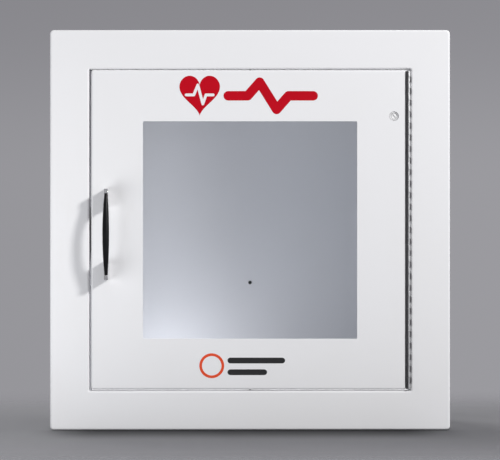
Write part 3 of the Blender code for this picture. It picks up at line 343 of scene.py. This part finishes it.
# clear sheet: light goes straight through, and more of it is mirrored at a slant
def makePane():
    made = bpy.data.materials.new("clearAcrylic")
    made.use_nodes = True
    tree = made.node_tree
    shader = tree.nodes["Principled BSDF"]
    shader.inputs["Base Color"].default_value = asColour(paneLook["gloss"])
    shader.inputs["Metallic"].default_value = 1.0
    place = Wire(tree, tree.nodes.new("ShaderNodeTexCoord").outputs["Object"])
    clear = place.node("BsdfTransparent", None, {"Color": asColour(paneLook["tint"])})
    dust = place.noise(26.0, 4.0).smooth(0.4, 0.85)
    swirls = place.stretched(1.0, 1.0, 0.5).noise(420.0).smooth(0.5, 0.8)
    tree.links.new((swirls * 0.05 + dust * 0.04 + paneLook["rough"]).socket, shader.inputs["Roughness"])
    facing = place.node("LayerWeight", None, {"Blend": 0.5}, "Facing")
    mirrored = facing.maths("POWER", facing, paneLook["grazing"]) * paneLook["slant"]
    share = mirrored + paneLook["mirror"] + dust * paneLook["haze"] + swirls * paneLook["haze"] * 0.5
    mixed = place.node("MixShader", None, {0: share, 1: clear, 2: Wire(tree, shader.outputs[0])})
    tree.links.new(mixed.socket, tree.nodes["Material Output"].inputs["Surface"])
    return made


clearAcrylic = makePane()
print("finishes made")

dressing = dict(edge=0.00012, weld=0.000002, sharp=38, weight=60)


# a CAD solid keeps its shape: it gets its finish, softened edges and even normals
def dressNode(name, finish, edge):
    piece = nodes[name]
    piece.data.materials.clear()
    piece.data.materials.append(finish)
    weld = piece.modifiers.new("weld", "WELD")
    weld.merge_threshold = dressing["weld"]
    if edge:
        bevel = piece.modifiers.new("edges", "BEVEL")
        bevel.width = edge
        bevel.segments = 2
        bevel.limit_method = "ANGLE"
        bevel.angle_limit = math.radians(dressing["sharp"])
        bevel.miter_outer = "MITER_ARC"
    normals = piece.modifiers.new("normals", "WEIGHTED_NORMAL")
    normals.weight = dressing["weight"]
    normals.keep_sharp = True
    for polygon in piece.data.polygons:
        polygon.use_smooth = True


finishOf = {"powder_coat": powderCoat, "zinc": zincPlate, "chrome": chromePlate,
            "black_plastic": gripPlastic, "black_rubber": bufferRubber, "white_plastic": whitePlastic,
            "grey_foam": foamTape, "clear_acrylic": clearAcrylic, "ferrite": ferrite,
            "circuit_board": boardMask, "red_vinyl": redVinyl, "orange_print": orangeInk,
            "black_print": blackInk, "battery_jacket": batteryJacket, "reed_glass": reedGlass}
edgeOf = {"cabinet_shell": 0.00025, "back_panel": 0.0002, "door_panel": 0.00025, "handle_bow": 0.0002,
          "handle_grip": 0, "window_pane": 0.0003}
hingeFinishOf = {name: hingeSteel for name in nodes if name.startswith("hinge_")}
hingeFinishOf["hinge_leaf_door"] = hingeDoorSteel
replaced = ("heart_decal", "pulse_decal", "label_ring", "label_bar_upper", "label_bar_lower")

for part in frame["record"]["subparts"]:
    if part["node"] not in replaced:
        finish = hingeFinishOf.get(part["node"], finishOf[part["material_slot"]])
        dressNode(part["node"], finish, edgeOf.get(part["node"], dressing["edge"]))
print("CAD nodes dressed")


def addPiece(name, shape, finish, body, stands):
    bmesh.ops.recalc_face_normals(shape, faces=shape.faces)
    mesh = bpy.data.meshes.new(name)
    shape.to_mesh(mesh)
    shape.free()
    mesh.materials.append(finish)
    piece = bpy.data.objects.new(name, mesh)
    bpy.context.collection.objects.link(piece)
    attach(piece, body)
    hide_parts(*stands)


# a film lies on the door, drawn as loops of (x, height) about its own middle
def filmShape(outer, centre, thick, lift, holes=()):
    shape = bmesh.new()
    front, rear = -lift - thick, -lift
    for depth in (front, rear):
        edges = []
        for loop in (outer, *holes):
            verts = [shape.verts.new((centre[0] + x, frontY + depth, centre[1] + h)) for x, h in loop]
            edges += [shape.edges.new((a, b)) for a, b in zip(verts, verts[1:] + verts[:1])]
        bmesh.ops.triangle_fill(shape, edges=edges, use_beauty=True)
    shape.verts.ensure_lookup_table()
    count = len(shape.verts) // 2
    start = 0
    for loop in (outer, *holes):
        size = len(loop)
        for i in range(size):
            a, b = start + i, start + (i + 1) % size
            shape.faces.new([shape.verts[k] for k in (a, b, b + count, a + count)])
        start += size
    return shape


def boxCentre(name):
    low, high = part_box(name)
    return ((low.x + high.x) / 2, (low.z + high.z) / 2), (high.x - low.x, high.z - low.z)


# a stroke with round corners and ends along a path of (x, height)
def strokeLoop(path, width, steps=8):
    points = [Vector(p) for p in path]
    walk = points + points[-2:0:-1]
    loop = []
    for i, point in enumerate(walk):
        before = (point - walk[i - 1]).normalized()
        after = (walk[(i + 1) % len(walk)] - point).normalized()
        turn = before.angle_signed(after, 0.0)
        normal = Vector((-before.y, before.x))
        if before.dot(after) < -0.999:      # the path turns back here
            turn = math.pi
        if turn > 0.01:
            for k in range(steps + 1):
                loop.append(tuple(point + Matrix.Rotation(-turn * k / steps, 2) @ normal * (width / 2)))
        else:
            nextNormal = Vector((-after.y, after.x))
            mean = (normal + nextNormal).normalized()
            loop.append(tuple(point + mean * (width / 2 / max(mean.dot(normal), 0.3))))
    return loop


heart = dict(steps=96, thick=0.00008, lift=0.00002, beatWidth=0.0032,
             beat=((-0.0150, 0.001), (-0.0065, 0.001), (-0.0020, 0.0120), (0.0035, -0.0090),
                   (0.0070, 0.001), (0.0150, 0.001)))


# the usual heart curve, stretched to the decal's own width and height
def heartLoop(size):
    points = []
    for i in range(heart["steps"]):
        t = math.tau * i / heart["steps"]
        points.append((16 * math.sin(t) ** 3,
                       13 * math.cos(t) - 5 * math.cos(2 * t) - 2 * math.cos(3 * t) - math.cos(4 * t)))
    spans = [(min(p[k] for p in points), max(p[k] for p in points)) for k in (0, 1)]
    return [tuple(size[k] * ((p[k] - spans[k][0]) / (spans[k][1] - spans[k][0]) - 0.5) for k in (0, 1))
            for p in points]


centre, size = boxCentre("heart_decal")
film = filmShape(heartLoop(size), centre, heart["thick"], heart["lift"],
                 [strokeLoop(heart["beat"], heart["beatWidth"])])
addPiece("heartFilm", film, redVinyl, "door", ["heart_decal"])

pulse = dict(width=0.0105, thick=0.00008, lift=0.00002,
             trace=((-0.50, 0.0), (-0.27, 0.0), (-0.13, 1.0), (0.07, -1.0), (0.21, 0.0), (0.50, 0.0)))

centre, size = boxCentre("pulse_decal")
reach = (size[0] - pulse["width"], (size[1] - pulse["width"]) / 2)
path = [(along * reach[0], beat * reach[1]) for along, beat in pulse["trace"]]
film = filmShape(strokeLoop(path, pulse["width"]), centre, pulse["thick"], pulse["lift"])
addPiece("pulseFilm", film, redVinyl, "door", ["pulse_decal"])


def circleLoop(radius, steps=96):
    return [(radius * math.cos(math.tau * i / steps), radius * math.sin(math.tau * i / steps))
            for i in range(steps)]


label = dict(stroke=0.0030, thick=0.00005, lift=0.00002)
centre, size = boxCentre("label_ring")
film = filmShape(circleLoop(size[0] / 2), centre, label["thick"], label["lift"],
                 [circleLoop(size[0] / 2 - label["stroke"])])
addPiece("labelRing", film, orangeInk, "door", ["label_ring"])
for word in ("upper", "lower"):
    centre, size = boxCentre("label_bar_" + word)
    half = (size[0] - size[1]) / 2
    film = filmShape(strokeLoop([(-half, 0), (half, 0)], size[1]), centre, label["thick"], label["lift"])
    addPiece("labelBar" + word.capitalize(), film, blackInk, "door", ["label_bar_" + word])
print("films laid on the door")

# the floor fades out round the cabinet, and a painted contact shadow darkens it just in front of the cabinet
floorLook = dict(paper=(0.34, 0.34, 0.35), half=3.0, drop=0.0004, rough=0.9, fadeFrom=0.02, fadeTo=0.55,
                 shade=0.80, shadeReach=0.13, shadeEdge=(0.006, -0.002), sideFrom=0.165, sideTo=0.250)


def makeFloor():
    mesh = bpy.data.meshes.new("floor")
    half = floorLook["half"]
    mesh.from_pydata([(-half, -half, 0), (half, -half, 0), (half, half, 0), (-half, half, 0)], [],
                     [(0, 1, 2, 3)])
    floor = bpy.data.objects.new("floor", mesh)
    bpy.context.collection.objects.link(floor)
    floor.location.z = -floorLook["drop"]
    made = bpy.data.materials.new("floorPaper")
    made.use_nodes = True
    tree = made.node_tree
    shader = tree.nodes["Principled BSDF"]
    shader.inputs["Roughness"].default_value = floorLook["rough"]
    shader.inputs["Specular IOR Level"].default_value = 0.1
    place = Wire(tree, tree.nodes.new("ShaderNodeTexCoord").outputs["Object"])
    across = place.maths("ABSOLUTE", place.axis("X"))
    along = place.axis("Y")
    beside = place.maths("MAXIMUM", across - faceHigh.x, 0.0)
    inFront = place.maths("MAXIMUM", frontY - along, 0.0)
    behind = place.maths("MAXIMUM", along + frontY, 0.0)
    off = place.node("CombineXYZ", None, {"X": beside, "Y": inFront, "Z": behind})
    gap = place.node("VectorMath", {"operation": "LENGTH"}, {0: off}, "Value")
    # painted shadow: the floor's colour is darkened in front of the cabinet's base
    paintedContactShadow = 1 - inFront.smooth(0.0, floorLook["shadeReach"])
    paintedContactShadow = paintedContactShadow * (along - frontY).smooth(*floorLook["shadeEdge"])
    paintedContactShadow = paintedContactShadow * (1 - across.smooth(floorLook["sideFrom"], floorLook["sideTo"])) * floorLook["shade"]
    tone = blendColours(place, paintedContactShadow, floorLook["paper"], (0.0, 0.0, 0.0))
    tree.links.new(tone.socket, shader.inputs["Base Color"])
    clear = place.node("BsdfTransparent", None, {"Color": (1, 1, 1, 1)})
    fade = gap.smooth(floorLook["fadeFrom"], floorLook["fadeTo"])
    mixed = place.node("MixShader", None, {0: fade, 1: Wire(tree, shader.outputs[0]), 2: clear})
    tree.links.new(mixed.socket, tree.nodes["Material Output"].inputs["Surface"])
    mesh.materials.append(made)


makeFloor()

studio = dict(top=(0.258, 0.255, 0.275), middle=(0.318, 0.315, 0.337), low=(0.315, 0.312, 0.333), lean=0.035,
              front=(0.396, 0.399, 0.414), topBand=(0.02, 0.10), lowBand=(-0.03, -0.09),
              frontBand=(-0.35, -0.80), leanReach=0.12)


def makeWorld():
    world = bpy.data.worlds.new("studio")
    world.use_nodes = True
    tree = world.node_tree
    way = Wire(tree, tree.nodes.new("ShaderNodeTexCoord").outputs["Generated"])
    height, across = way.axis("Z"), way.axis("X")
    colour = blendColours(way, height.smooth(*studio["topBand"]), studio["middle"], studio["top"])
    colour = blendColours(way, height.smooth(*studio["lowBand"]), colour, studio["low"])
    colour = blendColours(way, way.axis("Y").smooth(*studio["frontBand"]), colour, studio["front"])
    lean = across.node("MapRange", None, {"Value": across, "From Min": -studio["leanReach"],
                                          "From Max": studio["leanReach"],
                                          "To Min": 1 - studio["lean"], "To Max": 1 + studio["lean"]})
    background = tree.nodes["Background"]
    tree.links.new(colour.socket, background.inputs["Color"])
    tree.links.new(lean.socket, background.inputs["Strength"])
    bpy.context.scene.world = world


makeWorld()

# the inner lamps light only the rear wall and swing away with the door, a lamp without shadows
# lifts the stops behind the door's gaps, and the key leaves out the rear wall, the stops and the floor
litOnly = dict(rear=("back_panel", "centre_hole_plug"), stops=("door_stop_top", "door_stop_bottom"))
keySkips = (*litOnly["rear"], *litOnly["stops"], "floor")
inner = dict(colour=(0.985, 0.985, 1.0), mirrored=False, lights="rear")
lamps = dict(
    key=dict(at=(1.713, -1.39, 1.336), aim=(0.0, frontY, 0.22), size=(0.26, 0.26), watts=47.0,
             colour=(1.0, 0.995, 0.985), mirrored=True, lights="object"),
    low=dict(at=(-0.62, -0.42, 0.0), aim=(-0.15, frontY, 0.08), size=(0.5, 0.5), watts=2.7,
             colour=(0.97, 0.985, 1.0), mirrored=False, lights="all"),
    back=dict(at=(-0.7, 1.5, 1.1), aim=(0.0, -frontY, 0.22), size=(1.0, 1.0), watts=14.0,
              colour=(1.0, 1.0, 1.0), mirrored=False, lights="all"),
    gaps=dict(at=(0.0, -1.2, 0.22), aim=(0.0, 0.0, 0.22), size=(0.5, 0.5), watts=10.0,
              colour=(1.0, 1.0, 1.0), mirrored=False, lights="stops"),
    top=dict(at=(0.1, 0.15, 1.9), aim=(0.0, 0.0, 0.25), size=(1.0, 1.0), watts=6.0,
             colour=(1.0, 1.0, 1.0), mirrored=True, lights="all"),
    insideLeft=dict(inner, at=(-0.165, frontY + 0.073, 0.20), aim=(0.10, frontY + 0.110, 0.20),
                    size=(0.03, 0.36), watts=0.137),
    insideLow=dict(inner, at=(-0.110, frontY + 0.055, 0.040), aim=(0.10, frontY + 0.100, 0.100),
                   size=(0.12, 0.03), watts=0.091),
    insideCorner=dict(inner, at=(-0.165, frontY + 0.073, 0.035), aim=(0.10, frontY + 0.110, 0.080),
                      size=(0.04, 0.06), watts=0.097),
    insideHigh=dict(inner, at=(0.02, frontY + 0.045, 0.40), aim=(0.02, -frontY, 0.38),
                    size=(0.26, 0.03), watts=0.022))


def makeLamp(name, lamp):
    data = bpy.data.lights.new(name, "AREA")
    data.shape = "RECTANGLE"
    data.size, data.size_y = lamp["size"]
    data.energy = lamp["watts"]
    data.color = lamp["colour"]
    made = bpy.data.objects.new(name, data)
    made.location = lamp["at"]
    aim = Vector(lamp["aim"]) - Vector(lamp["at"])
    made.rotation_euler = aim.to_track_quat("-Z", "Y").to_euler()
    made.visible_camera = False
    made.visible_glossy = lamp["mirrored"]
    data.use_shadow = lamp["lights"] != "stops"
    if lamp["lights"] == "rear":
        made.parent = nodes["door_panel"]
    bpy.context.collection.objects.link(made)
    if lamp["lights"] != "all":
        lit = bpy.data.collections.new(name + "Lights")
        made.light_linking.receiver_collection = lit
        for piece in bpy.context.scene.objects:
            chosen = litOnly.get(lamp["lights"])
            wanted = piece.name in chosen if chosen else piece.name not in keySkips
            if piece.type == "MESH" and wanted:
                lit.objects.link(piece)


for name, lamp in lamps.items():
    makeLamp(name, lamp)

shot = dict(distance=2.6, width=0.5555, sensor=36.0)
cameraData = bpy.data.cameras.new("camera")
cameraData.sensor_width = shot["sensor"]
cameraData.lens = shot["sensor"] * shot["distance"] / shot["width"]
camera = bpy.data.objects.new("camera", cameraData)
camera.location = (middle.x, frontY - shot["distance"], middle.z)
camera.rotation_euler = (math.radians(90), 0, 0)
bpy.context.collection.objects.link(camera)
bpy.context.scene.camera = camera
bpy.context.scene.view_settings.view_transform = "Standard"
print("stage, lamps and camera set")
